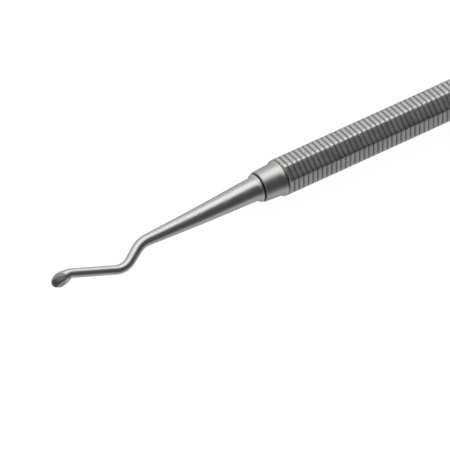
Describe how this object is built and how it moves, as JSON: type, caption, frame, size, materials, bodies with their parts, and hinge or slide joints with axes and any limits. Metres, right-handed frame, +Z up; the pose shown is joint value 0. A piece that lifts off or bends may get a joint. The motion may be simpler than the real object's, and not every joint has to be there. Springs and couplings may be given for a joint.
{
  "type": "spoon excavator",
  "caption": "Double-ended spoon excavator of satin stainless steel with a ring-grooved octagonal handle and two bent, spoon-tipped working ends.",
  "frame": {"origin": "middle of the handle's lower flat, on which the instrument lies", "axes": "+X along the handle, +Z up out of the flat it lies on, -Y the side that both working ends bend to"},
  "size_m": [0.1696, 0.0064, 0.006],
  "materials": {
    "handle_steel": "satin",
    "working_end_steel": "satin"
  },
  "bodies": {
    "root": {"handle": "handle_steel", "left_working_end": "working_end_steel", "right_working_end": "working_end_steel"}
  },
  "joints": []
}
